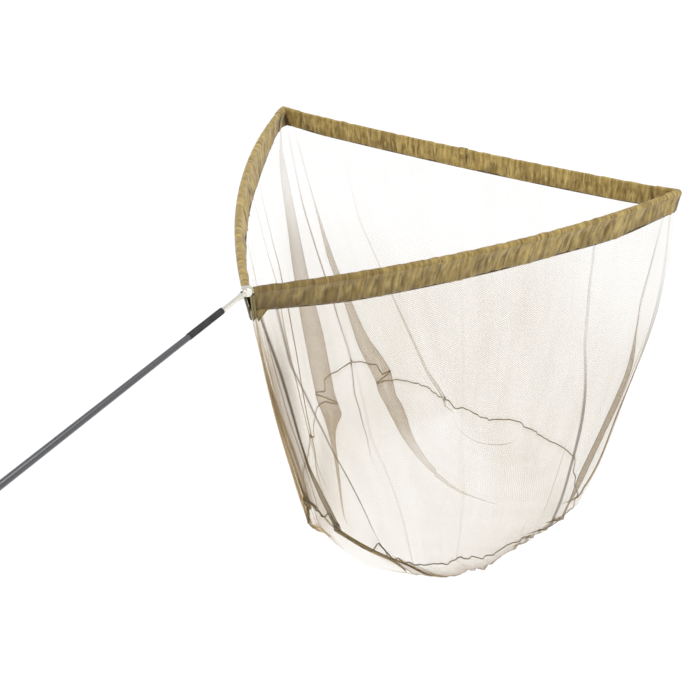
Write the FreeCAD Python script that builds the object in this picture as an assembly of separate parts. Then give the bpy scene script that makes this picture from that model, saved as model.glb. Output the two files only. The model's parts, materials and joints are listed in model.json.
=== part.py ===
import FreeCAD, Part

import math
import os

# Landing net with a tapered one-piece handle, a screw-in spreader head, two bowed arms and a deep mesh bag.
# Millimetres. +X runs along the handle from the butt to the net and +Z is up.
# The origin is the middle of the butt grip, on the handle's axis.

V = FreeCAD.Vector
X_AXIS = V(1, 0, 0)
Y_AXIS = V(0, 1, 0)
Z_AXIS = V(0, 0, 1)
ORIGIN = V(0, 0, 0)

# ---------------------------------------------------------------- handle
HANDLE_LENGTH = 1830.0
GRIP_LENGTH = 300.0
GRIP_RADIUS = 11.0
CAP_LENGTH = 10.0
BUTTON_LENGTH = 5.0
CAP_RADIUS = 10.8
BUTTON_RADIUS = 9.0
CAP_SPIGOT_LENGTH = 22.0
BUTTON_SEAT = 3.0
BUTTON_EDGE = 2.5
BUTT_X = -GRIP_LENGTH / 2
TOP_X = BUTT_X - CAP_LENGTH - BUTTON_LENGTH + HANDLE_LENGTH
BUTT_RADIUS = 9.85
TOP_RADIUS = 6.6
TUBE_WALL = 1.0
TOP_SLEEVE_LENGTH = 116.0
TOP_SLEEVE_RADIUS = 7.6

# ---------------------------------------------------------------- screwed joint, 3/8 inch thread
THREAD_RADIUS = 4.76
THREAD_CLEARANCE = 0.05
THREAD_PITCH = 1.27
THREAD_TURNS = 10
INSERT_LENGTH = 32.0
INSERT_FLANGE = 1.5
INSERT_BLIND_END = 6.0
STUD_ENGAGED = THREAD_PITCH * THREAD_TURNS + 0.7
STUD_IN_STEM = 16.0
STUD_CHAMFER = 0.8
WASHER_THICKNESS = 1.2
WASHER_RADIUS = 6.5
WASHER_BORE = 5.2
FACE_GAP = 0.1

# ---------------------------------------------------------------- spreader head
APEX_FROM_TOP = 92.0
APEX_X = TOP_X + APEX_FROM_TOP
STEM_RADIUS = 5.75
STEM_COLLAR_RADIUS = 6.6
STEM_COLLAR_LENGTH = 5.0
STEM_TAPER_LENGTH = 6.0
STEM_END_X = APEX_X - 12.0
NECK_RADIUS = 7.6
NECK_START_X = APEX_X - 24.0
BOSS_X = 2.0
BOSS_RADIUS = 13.5
BOSS_HEIGHT = 18.0
BOSS_EDGE = 3.0
BRANCH_RADIUS = 7.6
BRANCH_START = 6.0
BRANCH_END = 34.0
CAP_DISC_RADIUS = 8.0
CAP_DISC_HEIGHT = 2.4
CAP_DISC_SEAT = 1.0
CAP_DISC_GAP = 0.4
CAP_DISC_EDGE = 0.9
LOCK_SCREW_X = APEX_X - 18.0
LOCK_SCREW_RADIUS = 2.5
LOCK_SCREW_LENGTH = 5.6
LOCK_SCREW_PROUD = 1.0
HEX_RADIUS = 1.4
HEX_DEPTH = 1.6
SOCKET_OUTER = 6.4
SOCKET_INNER = 5.1
SOCKET_START = 20.0
SOCKET_END = 75.0
GRUB_RADIUS = 2.0
GRUB_STATION = 28.0
GRUB_TIP = 5.4
GRUB_SUNK = 0.2

# ---------------------------------------------------------------- bowed arms
ARM_CHORD = 1270.0
ARM_HALF_ANGLE = math.radians(30.3)
ARM_BOW = 66.0
MOUTH_DROOP = 4.5
ROD_RADIUS = 4.5
ROD_START = 24.0
FERRULE_RADIUS = SOCKET_INNER - 0.05
FERRULE_START = 23.0
FERRULE_END = 73.0
RING_STATION = 60.0
RING_WIRE = 0.25
RING_PROUD = 0.02
TIP_CAP_RADIUS = 6.5
TIP_CAP_LENGTH = 30.0
TIP_CAP_END = 3.0
EYE_OUTER = 5.0
EYE_INNER = 2.6
EYE_THICKNESS = 3.0
EYE_OFFSET = 9.5

# ---------------------------------------------------------------- front cord and fabric sleeves
CORD_RADIUS = 1.5
CORD_SAG = 10.0
CORD_END_GAP = 30.0
KNOT_RADIUS = 4.0
SLEEVE_CHANNEL = 8.5
SLEEVE_WALL = 1.2
SLEEVE_DROP = 70.0
SLEEVE_HEM = 1.6
SLEEVE_SEAM = 8.0
SLEEVE_LEAN = math.radians(12.0)
SLEEVE_START = 22.0
SLEEVE_END_GAP = 48.0
FRONT_CHANNEL = 5.0
FRONT_DROP = 52.0
FRONT_END_GAP = 47.0
FRONT_HALF_GAP = 0.5
JOINT_BINDING_WIDTH = 24.0
JOINT_BINDING_GAP = 0.3
JOINT_BINDING_THICKNESS = 1.2
TAB_TOP = 10.0
TAB_WIDTH = 25.0
TAB_THICKNESS = 2.4
TAB_GAP = 0.8
TAB_OVERHANG = 4.0
POCKET_BACK = 46.0
POCKET_NOSE = 14.0
POCKET_ALONG_FRONT = 42.0
POCKET_DROP = 50.0
POCKET_WALL = 1.4
POCKET_CORNER = 4.0
POCKET_SETBACK = 12.0
POCKET_FOLD = V(-30, -29.4, 0)

# ---------------------------------------------------------------- mesh bag, measured from the arms' meeting point
PANEL_THICKNESS = 1.2
REAR_HALF_GAP = 2.0
REAR_LOW = V(152, REAR_HALF_GAP, -660)
SIDE_LOW = V(550, 227, -1200)
CORNER_LOW = V(962, 500, -1050)
FRONT_LOW = V(1105, 0, -1060)
SIDE_BULGE = 30.0
FRONT_BULGE = 15.0
CORNER_BULGE = V(36, 54, 0)
FRONT_INSET = 4.0
BASE_SAG = 190.0
BINDING_HEIGHT = 12.0
BINDING_THICKNESS = 1.6
BINDING_GAP = 1.5
FRONT_BINDING_GAP = 4.0
RIM_GAP = 2.5
U_STEPS = 9
V_STEPS = 7

# ---------------------------------------------------------------- derived geometry of the bowed arms
ARC_RADIUS = ARM_CHORD ** 2 / (8 * ARM_BOW) + ARM_BOW / 2
ARC_HALF = math.asin(ARM_CHORD / 2 / ARC_RADIUS)
ARC_LENGTH = 2 * ARC_HALF * ARC_RADIUS
CHORD_DIRECTION = V(math.cos(ARM_HALF_ANGLE), math.sin(ARM_HALF_ANGLE), 0)
CHORD_NORMAL = V(-math.sin(ARM_HALF_ANGLE), math.cos(ARM_HALF_ANGLE), 0)
ARC_CENTRE = CHORD_DIRECTION * (ARM_CHORD / 2) - CHORD_NORMAL * (ARC_RADIUS - ARM_BOW)
ROOT_ANGLE = math.atan2(-ARC_CENTRE.y, -ARC_CENTRE.x)
MOUTH = FreeCAD.Placement(V(APEX_X, 0, 0), FreeCAD.Rotation(Y_AXIS, MOUTH_DROOP))
LEFT_TIP = MOUTH.multVec(CHORD_DIRECTION * ARM_CHORD)
CORD_ARC_RADIUS = (LEFT_TIP.y ** 2 + CORD_SAG ** 2) / (2 * CORD_SAG)
CORD_CENTRE = V(LEFT_TIP.x, 0, LEFT_TIP.z - CORD_SAG + CORD_ARC_RADIUS)


def save(name, solids):
    """Write one sub-part; several solids go into one file as a group."""
    shape = solids[0] if len(solids) == 1 else Part.makeCompound(solids)
    if not shape.isValid():
        raise ValueError(name + " is not a valid shape")
    shape.exportStep("parts/" + name + ".step")


def tube_x(outer, inner, start, end):
    """Straight round tube, or a rod when inner is 0, along the handle's axis."""
    body = Part.makeCylinder(outer, end - start, V(start, 0, 0), X_AXIS)
    if inner > 0:
        body = body.cut(Part.makeCylinder(inner, end - start, V(start, 0, 0), X_AXIS))
    return body


def to_row(shape):
    """Move a shape from the arms' plane, where the apex is the origin, into the part's frame."""
    placed = shape.copy()
    placed.Placement = MOUTH.multiply(placed.Placement)
    return placed


def mirrored(shape):
    """The right-hand copy of a left-hand shape."""
    return shape.mirror(ORIGIN, Y_AXIS)


def save_pair(name, shape):
    """Write a left-hand solid and its mirror image as two sub-parts."""
    save("left_" + name, [shape])
    save("right_" + name, [mirrored(shape)])


# ---------------------------------------------------------------- sections swept along the arms and the cord
def disc(centre, outer, inner=0.0):
    """Round section, with a round hole when inner is given, in the XZ plane."""
    wires = [Part.Wire(Part.Circle(centre, Y_AXIS, outer).toShape())]
    if inner > 0:
        wires.append(Part.Wire(Part.Circle(centre, Y_AXIS, inner).toShape()))
    return Part.makeFace(wires, "Part::FaceMakerBullseye")


def teardrop_wire(centre, big, drop, small, lean):
    """Outline of a channel of radius big that narrows to a hem of radius small, drop below it."""
    down = V(-math.sin(lean), 0, -math.cos(lean))
    side = V(math.cos(lean), 0, -math.sin(lean))
    low = centre + down * drop
    tilt = math.asin((big - small) / drop)
    normals = [side * (sign * math.cos(tilt)) + down * math.sin(tilt) for sign in (1, -1)]
    top = [centre + n * big for n in normals]
    bottom = [low + n * small for n in normals]
    edges = [
        Part.Arc(top[0], centre - down * big, top[1]).toShape(),
        Part.LineSegment(top[1], bottom[1]).toShape(),
        Part.Arc(bottom[1], low + down * small, bottom[0]).toShape(),
        Part.LineSegment(bottom[0], top[0]).toShape(),
    ]
    return Part.Wire(edges)


def sleeve_section(centre, channel, drop, lean):
    """Flat fabric tube: round at the top for the rod or cord, sewn to a hem at the bottom."""
    outer = teardrop_wire(centre, channel + SLEEVE_WALL, drop, SLEEVE_HEM, lean)
    inner = teardrop_wire(centre, channel, drop - SLEEVE_SEAM, SLEEVE_HEM / 3, lean)
    return Part.makeFace([outer, inner], "Part::FaceMakerBullseye")


def along_arm(section, start, end):
    """Sweep a section, drawn at the arc's radius, from one station of the left arm to another."""
    face = section.copy()
    face.rotate(ORIGIN, Z_AXIS, math.degrees(ROOT_ANGLE - end / ARC_RADIUS))
    solid = face.revolve(ORIGIN, Z_AXIS, math.degrees((end - start) / ARC_RADIUS))
    solid.translate(ARC_CENTRE)
    return solid


def arm_tube(outer, inner, start, end):
    return along_arm(disc(V(ARC_RADIUS, 0, 0), outer, inner), start, end)


def arm_point(station):
    """Centre of the left arm at a distance from the apex, in the arms' plane."""
    angle = ROOT_ANGLE - station / ARC_RADIUS
    return ARC_CENTRE + V(math.cos(angle), math.sin(angle), 0) * ARC_RADIUS


def arm_direction(station):
    angle = ROOT_ANGLE - station / ARC_RADIUS
    return V(math.sin(angle), -math.cos(angle), 0)


def along_front(section, start_y, end_y):
    """Sweep a section along the sagging front cord, between two distances from the middle."""
    start = math.degrees(math.asin(start_y / CORD_ARC_RADIUS))
    end = math.degrees(math.asin(end_y / CORD_ARC_RADIUS))
    face = section.copy()
    face.rotate(CORD_CENTRE, X_AXIS, start)
    return face.revolve(CORD_CENTRE, X_AXIS, end - start)


# ---------------------------------------------------------------- handle
def tube_radius(x):
    share = (x - BUTT_X) / (TOP_X - BUTT_X)
    return BUTT_RADIUS + (TOP_RADIUS - BUTT_RADIUS) * share


def handle_cone(inset, start, end):
    """Tapered handle outline, less a wall thickness."""
    return Part.makeCone(
        tube_radius(start) - inset, tube_radius(end) - inset, end - start, V(start, 0, 0), X_AXIS
    )


def make_handle():
    tube = handle_cone(0, BUTT_X, TOP_X).cut(handle_cone(TUBE_WALL, BUTT_X, TOP_X))
    save("handle_tube", [tube])

    grip_end = BUTT_X + GRIP_LENGTH
    grip = tube_x(GRIP_RADIUS, 0, BUTT_X, grip_end).cut(handle_cone(0, BUTT_X, grip_end))
    save("butt_grip", [grip])

    sleeve_start = TOP_X - TOP_SLEEVE_LENGTH
    sleeve = tube_x(TOP_SLEEVE_RADIUS, 0, sleeve_start, TOP_X)
    save("top_grip_sleeve", [sleeve.cut(handle_cone(0, sleeve_start, TOP_X))])

    spigot_radius = tube_radius(BUTT_X + CAP_SPIGOT_LENGTH) - TUBE_WALL
    cap = tube_x(CAP_RADIUS, 0, BUTT_X - CAP_LENGTH, BUTT_X)
    cap = cap.fuse(tube_x(spigot_radius, 0, BUTT_X - 1, BUTT_X + CAP_SPIGOT_LENGTH)).removeSplitter()
    cap_end = BUTT_X - CAP_LENGTH
    save("butt_cap", [cap.cut(tube_x(BUTTON_RADIUS, 0, cap_end, cap_end + BUTTON_SEAT))])

    button_start = cap_end - BUTTON_LENGTH
    button = tube_x(BUTTON_RADIUS, 0, button_start, cap_end + BUTTON_SEAT)
    rim = [e for e in button.Edges if abs(e.BoundBox.XMax - button_start) < 0.01]
    save("butt_button", [button.makeFillet(BUTTON_EDGE, rim[:1])])


def make_screwed_joint():
    bore = THREAD_RADIUS + THREAD_CLEARANCE
    flange_end = TOP_X + INSERT_FLANGE
    insert = tube_x(TOP_RADIUS - TUBE_WALL, 0, TOP_X - INSERT_LENGTH, TOP_X)
    insert = insert.fuse(tube_x(TOP_RADIUS, 0, TOP_X, flange_end)).removeSplitter()
    insert = insert.cut(tube_x(bore, 0, TOP_X - INSERT_LENGTH + INSERT_BLIND_END, flange_end))
    save("threaded_insert", [insert])

    washer_start = flange_end + FACE_GAP
    washer_end = washer_start + WASHER_THICKNESS
    save("stem_washer", [tube_x(WASHER_RADIUS, WASHER_BORE, washer_start, washer_end)])

    stem_start = washer_end + FACE_GAP
    stud_end = stem_start + STUD_IN_STEM
    stud = tube_x(THREAD_RADIUS, 0, flange_end - STUD_ENGAGED, stud_end)
    ends = [e for e in stud.Edges if isinstance(e.Curve, Part.Circle)]
    save("threaded_stud", [stud.makeChamfer(STUD_CHAMFER, ends)])

    stem = tube_x(STEM_RADIUS, 0, stem_start, STEM_END_X)
    collar = tube_x(STEM_COLLAR_RADIUS, 0, stem_start, stem_start + STEM_COLLAR_LENGTH)
    taper_start = stem_start + STEM_COLLAR_LENGTH
    taper_base = V(taper_start, 0, 0)
    taper = Part.makeCone(STEM_COLLAR_RADIUS, STEM_RADIUS, STEM_TAPER_LENGTH, taper_base, X_AXIS)
    stem = stem.fuse([collar, taper]).removeSplitter()
    stem = stem.cut(tube_x(THREAD_RADIUS, 0, stem_start, stud_end))
    save("spreader_stem", [stem.cut(lock_screw(0))])


# ---------------------------------------------------------------- spreader head
def lock_screw(recess):
    """Screw that locks the stem in the block's neck; recess sinks the hexagon socket."""
    top = NECK_RADIUS + LOCK_SCREW_PROUD
    base = V(LOCK_SCREW_X, 0, top - LOCK_SCREW_LENGTH)
    screw = Part.makeCylinder(LOCK_SCREW_RADIUS, LOCK_SCREW_LENGTH, base, Z_AXIS)
    if recess > 0:
        turns = [math.radians(60 * k) for k in range(7)]
        corners = [V(math.cos(a), math.sin(a), 0) * HEX_RADIUS for a in turns]
        hexagon = Part.makePolygon([c + V(LOCK_SCREW_X, 0, top - recess) for c in corners])
        screw = screw.cut(Part.Face(hexagon).extrude(V(0, 0, recess + 1)))
    return screw


def grub_screw():
    """Grub screw through the left branch into its socket."""
    base = arm_point(GRUB_STATION) + V(0, 0, GRUB_TIP)
    return Part.makeCylinder(GRUB_RADIUS, BRANCH_RADIUS - GRUB_TIP - GRUB_SUNK, base, Z_AXIS)


def make_block():
    boss = Part.makeCylinder(BOSS_RADIUS, BOSS_HEIGHT, V(BOSS_X, 0, -BOSS_HEIGHT / 2), Z_AXIS)
    rims = [e for e in boss.Edges if isinstance(e.Curve, Part.Circle)]
    boss = boss.makeFillet(BOSS_EDGE, rims)
    branch = arm_tube(BRANCH_RADIUS, 0, BRANCH_START, BRANCH_END)
    neck = tube_x(NECK_RADIUS, 0, NECK_START_X, APEX_X)
    block = to_row(boss).fuse([to_row(branch), to_row(mirrored(branch)), neck]).removeSplitter()

    bore = arm_tube(SOCKET_OUTER, 0, SOCKET_START, BRANCH_END + 1)
    seat_base = V(BOSS_X, 0, BOSS_HEIGHT / 2 - CAP_DISC_SEAT)
    seat = Part.makeCylinder(CAP_DISC_RADIUS, CAP_DISC_SEAT + 1, seat_base, Z_AXIS)
    cuts = [bore, mirrored(bore), grub_screw(), mirrored(grub_screw()), seat]
    block = block.cut([to_row(tool) for tool in cuts])
    block = block.cut([tube_x(STEM_RADIUS, 0, NECK_START_X - 1, STEM_END_X), lock_screw(0)])
    save("spreader_block", [block])

    disc_base = V(BOSS_X, 0, BOSS_HEIGHT / 2 - CAP_DISC_SEAT)
    cap = Part.makeCylinder(CAP_DISC_RADIUS - CAP_DISC_GAP, CAP_DISC_HEIGHT, disc_base, Z_AXIS)
    top = [e for e in cap.Edges if e.BoundBox.ZMin > disc_base.z + CAP_DISC_HEIGHT / 2]
    save("block_cap", [to_row(cap.makeFillet(CAP_DISC_EDGE, top))])
    save("stem_lock_screw", [lock_screw(HEX_DEPTH)])
    save("socket_grub_screws", [to_row(grub_screw()), to_row(mirrored(grub_screw()))])

    socket = arm_tube(SOCKET_OUTER, SOCKET_INNER, SOCKET_START, SOCKET_END)
    socket = socket.cut(grub_screw())
    save("left_socket", [to_row(socket)])
    save("right_socket", [to_row(mirrored(socket))])


# ---------------------------------------------------------------- arms
def save_arm_pair(name, shape):
    save("left_" + name, [to_row(shape)])
    save("right_" + name, [to_row(mirrored(shape))])


def make_arms():
    save_arm_pair("arm_rod", arm_tube(ROD_RADIUS, 0, ROD_START, ARC_LENGTH))

    ring_centre = arm_point(RING_STATION)
    ring = Part.makeTorus(
        FERRULE_RADIUS - RING_WIRE + RING_PROUD, RING_WIRE, ring_centre, arm_direction(RING_STATION)
    )
    ferrule = arm_tube(FERRULE_RADIUS, ROD_RADIUS, FERRULE_START, FERRULE_END)
    save_arm_pair("arm_ferrule", ferrule.cut(ring))
    save_arm_pair("arm_o_ring", ring)

    cap_start = ARC_LENGTH - TIP_CAP_LENGTH
    cap = arm_tube(TIP_CAP_RADIUS, 0, cap_start, ARC_LENGTH + TIP_CAP_END)
    eye_centre = arm_point(ARC_LENGTH) + V(0, -EYE_OFFSET, 0)
    eye_base = eye_centre - V(0, 0, EYE_THICKNESS / 2)
    lug = Part.makeCylinder(EYE_OUTER, EYE_THICKNESS, eye_base, Z_AXIS)
    hole = Part.makeCylinder(EYE_INNER, EYE_THICKNESS, eye_base, Z_AXIS)
    cap = cap.fuse(lug).cut(hole)
    save_arm_pair("tip_cap", cap.cut(arm_tube(ROD_RADIUS, 0, cap_start - 1, ARC_LENGTH)))

    knot_centre = arm_point(ARC_LENGTH) + V(0, -(CORD_END_GAP - KNOT_RADIUS - 1), 0)
    loop_centre = (eye_centre + knot_centre) * 0.5
    half = (knot_centre - eye_centre).Length / 2
    loop = Part.makeTorus(half + 1.0, CORD_RADIUS * 0.7, loop_centre, X_AXIS)
    loop = loop.fuse(Part.makeSphere(KNOT_RADIUS, knot_centre)).removeSplitter()
    save_arm_pair("cord_loop", loop)


def make_pocket():
    """Folded corner piece: an outer wall round the tip and a flat top over the fold."""
    tip = arm_point(ARC_LENGTH)
    along = arm_direction(ARC_LENGTH)
    out = V(-along.y, along.x, 0)
    clear = SLEEVE_CHANNEL + SLEEVE_WALL
    front = FRONT_CHANNEL + SLEEVE_WALL + 1.5
    path = [
        tip - along * POCKET_BACK + out * clear,
        tip + along * (POCKET_NOSE - POCKET_CORNER) + out * clear,
        tip + along * POCKET_NOSE + out * (POCKET_CORNER / 2),
        tip + V(front, -POCKET_SETBACK, 0),
        tip + V(front, -POCKET_ALONG_FRONT, 0),
    ]
    inner = [
        path[0] - out * POCKET_WALL,
        path[1] - out * POCKET_WALL - along * (POCKET_WALL * 0.4),
        path[2] - along * POCKET_WALL,
        path[3] - V(POCKET_WALL, 0, 0),
        path[4] - V(POCKET_WALL, 0, 0),
    ]
    ring = path + inner[::-1] + path[:1]
    wall = Part.Face(Part.makePolygon(ring)).extrude(V(0, 0, -POCKET_DROP - clear))
    wall.translate(V(0, 0, clear))
    cover = path + [tip + POCKET_FOLD] + path[:1]
    top = Part.Face(Part.makePolygon(cover)).extrude(V(0, 0, POCKET_WALL))
    top.translate(V(0, 0, clear))
    save_arm_pair("corner_pocket", wall.fuse(top).removeSplitter())


# ---------------------------------------------------------------- cord and fabric sleeves
def make_sleeves():
    centre = V(ARC_RADIUS, 0, 0)
    section = sleeve_section(centre, SLEEVE_CHANNEL, SLEEVE_DROP, SLEEVE_LEAN)
    save_arm_pair("arm_sleeve", along_arm(section, SLEEVE_START, ARC_LENGTH - SLEEVE_END_GAP))

    side = V(math.cos(SLEEVE_LEAN), 0, -math.sin(SLEEVE_LEAN))
    down = V(-math.sin(SLEEVE_LEAN), 0, -math.cos(SLEEVE_LEAN))
    high = centre + down * TAB_TOP + side * (SLEEVE_CHANNEL + TAB_GAP)
    low = centre + down * (SLEEVE_DROP + TAB_OVERHANG) + side * (SLEEVE_HEM + TAB_GAP)
    ring = [high, high + side * TAB_THICKNESS, low + side * TAB_THICKNESS, low, high]
    tab = Part.Face(Part.makePolygon(ring))
    save_arm_pair("hem_tab", along_arm(tab, SLEEVE_START, SLEEVE_START + TAB_WIDTH))

    middle = V(LEFT_TIP.x, 0, LEFT_TIP.z - CORD_SAG)
    cord_end = LEFT_TIP.y - CORD_END_GAP - 0.5
    save("front_cord", [along_front(disc(middle, CORD_RADIUS), -cord_end, cord_end)])

    front = sleeve_section(middle, FRONT_CHANNEL, FRONT_DROP, 0)
    half = along_front(front, FRONT_HALF_GAP, LEFT_TIP.y - FRONT_END_GAP)
    save_pair("front_sleeve", half)
    gaps = (JOINT_BINDING_GAP, JOINT_BINDING_GAP + JOINT_BINDING_THICKNESS)
    radius = FRONT_CHANNEL + SLEEVE_WALL
    wires = [teardrop_wire(middle, radius + g, FRONT_DROP, SLEEVE_HEM + g, 0) for g in gaps]
    band = Part.makeFace(wires[::-1], "Part::FaceMakerBullseye")
    save("front_joint_binding", [along_front(band, -JOINT_BINDING_WIDTH / 2, JOINT_BINDING_WIDTH / 2)])


# ---------------------------------------------------------------- mesh bag
def side_rim(share):
    """Lower edge of the left arm's sleeve, from the block at 0 to the corner at 1."""
    station = SLEEVE_START + share * (ARC_LENGTH - SLEEVE_START - 6)
    angle = ROOT_ANGLE - station / ARC_RADIUS
    reach = SLEEVE_DROP + SLEEVE_HEM + RIM_GAP
    radius = ARC_RADIUS - reach * math.sin(SLEEVE_LEAN)
    point = ARC_CENTRE + V(math.cos(angle), math.sin(angle), 0) * radius
    row = MOUTH.multVec(point - V(0, 0, reach * math.cos(SLEEVE_LEAN)))
    return V(row.x, max(row.y, REAR_HALF_GAP), row.z)


def front_rim(share):
    """Lower edge of the front sleeve, from the left corner at 0 to the right corner at 1."""
    y = (side_rim(1).y - FRONT_INSET) * (1 - 2 * share)
    sag = CORD_SAG * (1 - (y / LEFT_TIP.y) ** 2)
    return V(LEFT_TIP.x, y, LEFT_TIP.z - sag - FRONT_DROP - SLEEVE_HEM - RIM_GAP)


def through(a, b, c, share):
    """Parabola through three points, at 0, 0.5 and 1."""
    wa = 2 * (share - 0.5) * (share - 1)
    wb = -4 * share * (share - 1)
    wc = 2 * share * (share - 0.5)
    return a * wa + b * wb + c * wc


def bag_point(p):
    return V(APEX_X + p.x, p.y, p.z)


def side_seam(share):
    return bag_point(through(REAR_LOW, SIDE_LOW, CORNER_LOW, share))


def front_seam(share):
    left = V(CORNER_LOW.x, CORNER_LOW.y - FRONT_INSET, CORNER_LOW.z)
    right = V(left.x, -left.y, left.z)
    return bag_point(through(left, FRONT_LOW, right, share))


def grid(place, rows):
    """Rows of points over a panel, from a rule that places each share across and down."""
    shares = [i / (U_STEPS - 1) for i in range(U_STEPS)]
    return [[place(u, j / (rows - 1)) for u in shares] for j in range(rows)]


def wall_grid(rim, seam, bulge, corner_bulge):
    """Rows of points from a rim down to the base seam, bulging outward in the middle and at the corners."""

    def place(u, v):
        out = bulge * math.sin(math.pi * u) + corner_bulge(u)
        return rim(u) * (1 - v) + seam(u) * v + out * math.sin(math.pi * v)

    return grid(place, V_STEPS)


def base_point(u, v):
    """Base panel: from the left seam to the right one, sagging in the middle; v runs to the front."""
    left = side_seam(v)
    width = left.y / CORNER_LOW.y
    fullness = width * (2 - width)
    bow = (front_seam(u) - front_seam(0)) * v ** 3
    sag = BASE_SAG * (1 - (2 * u - 1) ** 4) * math.sin(math.pi * v) * fullness
    return V(left.x + bow.x, left.y * (1 - 2 * u), left.z + bow.z - sag - PANEL_THICKNESS)


def clamped(count, degree):
    """Knots and multiplicities of a clamped, evenly spaced spline with this many poles."""
    spans = count - degree
    return list(range(spans + 1)), [degree + 1] + [1] * (spans - 1) + [degree + 1]


def panel(rows, thickness):
    """Thin closed sheet: a smooth surface drawn by a grid of poles, given a thickness."""
    across = min(3, len(rows) - 1)
    along = min(3, len(rows[0]) - 1)
    row_knots, row_mults = clamped(len(rows), across)
    knots, mults = clamped(len(rows[0]), along)
    surface = Part.BSplineSurface()
    surface.buildFromPolesMultsKnots(
        rows, row_mults, mults, row_knots, knots, False, False, across, along
    )
    solid = surface.toShape().extrude(thickness)
    if solid.Volume < 0:
        solid.reverse()
    return solid


def binding(seam, outward, gap):
    """Narrow tape that hangs outside the base seam."""
    drop = V(0, 0, -BINDING_HEIGHT)
    shift = outward * gap
    points = [seam(i / (U_STEPS - 1)) + shift for i in range(U_STEPS)]
    rows = [[p + drop * (k / 2) for p in points] for k in range(3)]
    return panel(rows, outward * BINDING_THICKNESS)


def front_corner_bulge(u):
    """Meets the side walls' bulge at both ends of the front wall."""
    side = 1 - 2 * u
    return V(CORNER_BULGE.x, CORNER_BULGE.y * side, 0) * side ** 2


def make_bag():
    side_out = CHORD_NORMAL
    side = wall_grid(side_rim, side_seam, side_out * SIDE_BULGE, lambda u: CORNER_BULGE * u ** 2)
    save_pair("mesh_wall", panel(side, side_out * -PANEL_THICKNESS))
    front = wall_grid(front_rim, front_seam, X_AXIS * FRONT_BULGE, front_corner_bulge)
    save("front_mesh_wall", [panel(front, X_AXIS * -PANEL_THICKNESS)])
    save("mesh_base", [panel(grid(base_point, U_STEPS), V(0, 0, -PANEL_THICKNESS))])

    save_pair("base_binding", binding(side_seam, side_out, BINDING_GAP))
    save("front_base_binding", [binding(front_seam, X_AXIS, FRONT_BINDING_GAP)])


os.makedirs("parts", exist_ok=True)
make_handle()
make_screwed_joint()
make_block()
make_arms()
make_pocket()
make_sleeves()
make_bag()
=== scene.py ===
import json
import math

import bmesh
import bpy
import numpy as np
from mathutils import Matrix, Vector


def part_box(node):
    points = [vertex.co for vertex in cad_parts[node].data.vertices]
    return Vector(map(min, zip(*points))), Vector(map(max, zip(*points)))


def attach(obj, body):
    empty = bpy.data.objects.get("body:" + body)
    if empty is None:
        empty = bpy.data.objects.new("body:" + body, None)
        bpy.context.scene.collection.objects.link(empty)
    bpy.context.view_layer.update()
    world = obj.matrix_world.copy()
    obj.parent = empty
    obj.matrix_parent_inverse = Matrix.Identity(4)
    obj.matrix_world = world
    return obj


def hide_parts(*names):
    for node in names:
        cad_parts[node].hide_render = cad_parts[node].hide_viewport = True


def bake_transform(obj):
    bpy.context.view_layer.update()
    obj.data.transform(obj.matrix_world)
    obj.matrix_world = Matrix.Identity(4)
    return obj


# Landing net with a deep mesh bag.
# Metres, in the CAD model's frame: +X runs from the butt to the net, +Z is up.
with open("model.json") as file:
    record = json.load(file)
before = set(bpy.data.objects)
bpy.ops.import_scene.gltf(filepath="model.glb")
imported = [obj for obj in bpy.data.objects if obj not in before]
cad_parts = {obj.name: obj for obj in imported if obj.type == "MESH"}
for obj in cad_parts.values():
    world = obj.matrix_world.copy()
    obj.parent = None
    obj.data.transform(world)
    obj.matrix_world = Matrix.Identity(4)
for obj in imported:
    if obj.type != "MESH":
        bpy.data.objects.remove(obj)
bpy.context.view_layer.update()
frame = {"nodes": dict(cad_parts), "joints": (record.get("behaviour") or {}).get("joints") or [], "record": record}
NODES = frame["nodes"]
JOINTS = {joint["name"]: joint for joint in frame["joints"]}
HALVES = {"left": 1.0, "right": -1.0}
UP = np.array([0.0, 0.0, 1.0])

# ---------------------------------------------------------------- geometry of the mouth, from the frame
APEX_FROM_TOP = 0.092
APEX = np.array([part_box("handle_tube")[1].x + APEX_FROM_TOP, 0.0, 0.0])
ARC_CENTRE = np.array(JOINTS["left_arm_pull"]["pos_m"])
MOUTH_UP = -np.array(JOINTS["left_arm_pull"]["axis"])
MOUTH_UP = MOUTH_UP / np.linalg.norm(MOUTH_UP)
MOUTH_ACROSS = np.array([0.0, 1.0, 0.0])
MOUTH_FORWARD = np.cross(MOUTH_ACROSS, MOUTH_UP)
ARC_RADIUS = float(np.linalg.norm(APEX - ARC_CENTRE))
ARM_CHORD = 1.270
ARM_HALF_ANGLE = math.radians(30.3)
ARC_LENGTH = 2 * ARC_RADIUS * math.asin(ARM_CHORD / 2 / ARC_RADIUS)
TIP = APEX + ARM_CHORD * (math.cos(ARM_HALF_ANGLE) * MOUTH_FORWARD + math.sin(ARM_HALF_ANGLE) * MOUTH_ACROSS)
ROOT_ANGLE = math.atan2(-(ARC_CENTRE - APEX) @ MOUTH_ACROSS, -(ARC_CENTRE - APEX) @ MOUTH_FORWARD)
CORD_SAG = 0.010
CORD_THICKNESS = 0.003
CORD_END = 0.030

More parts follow.
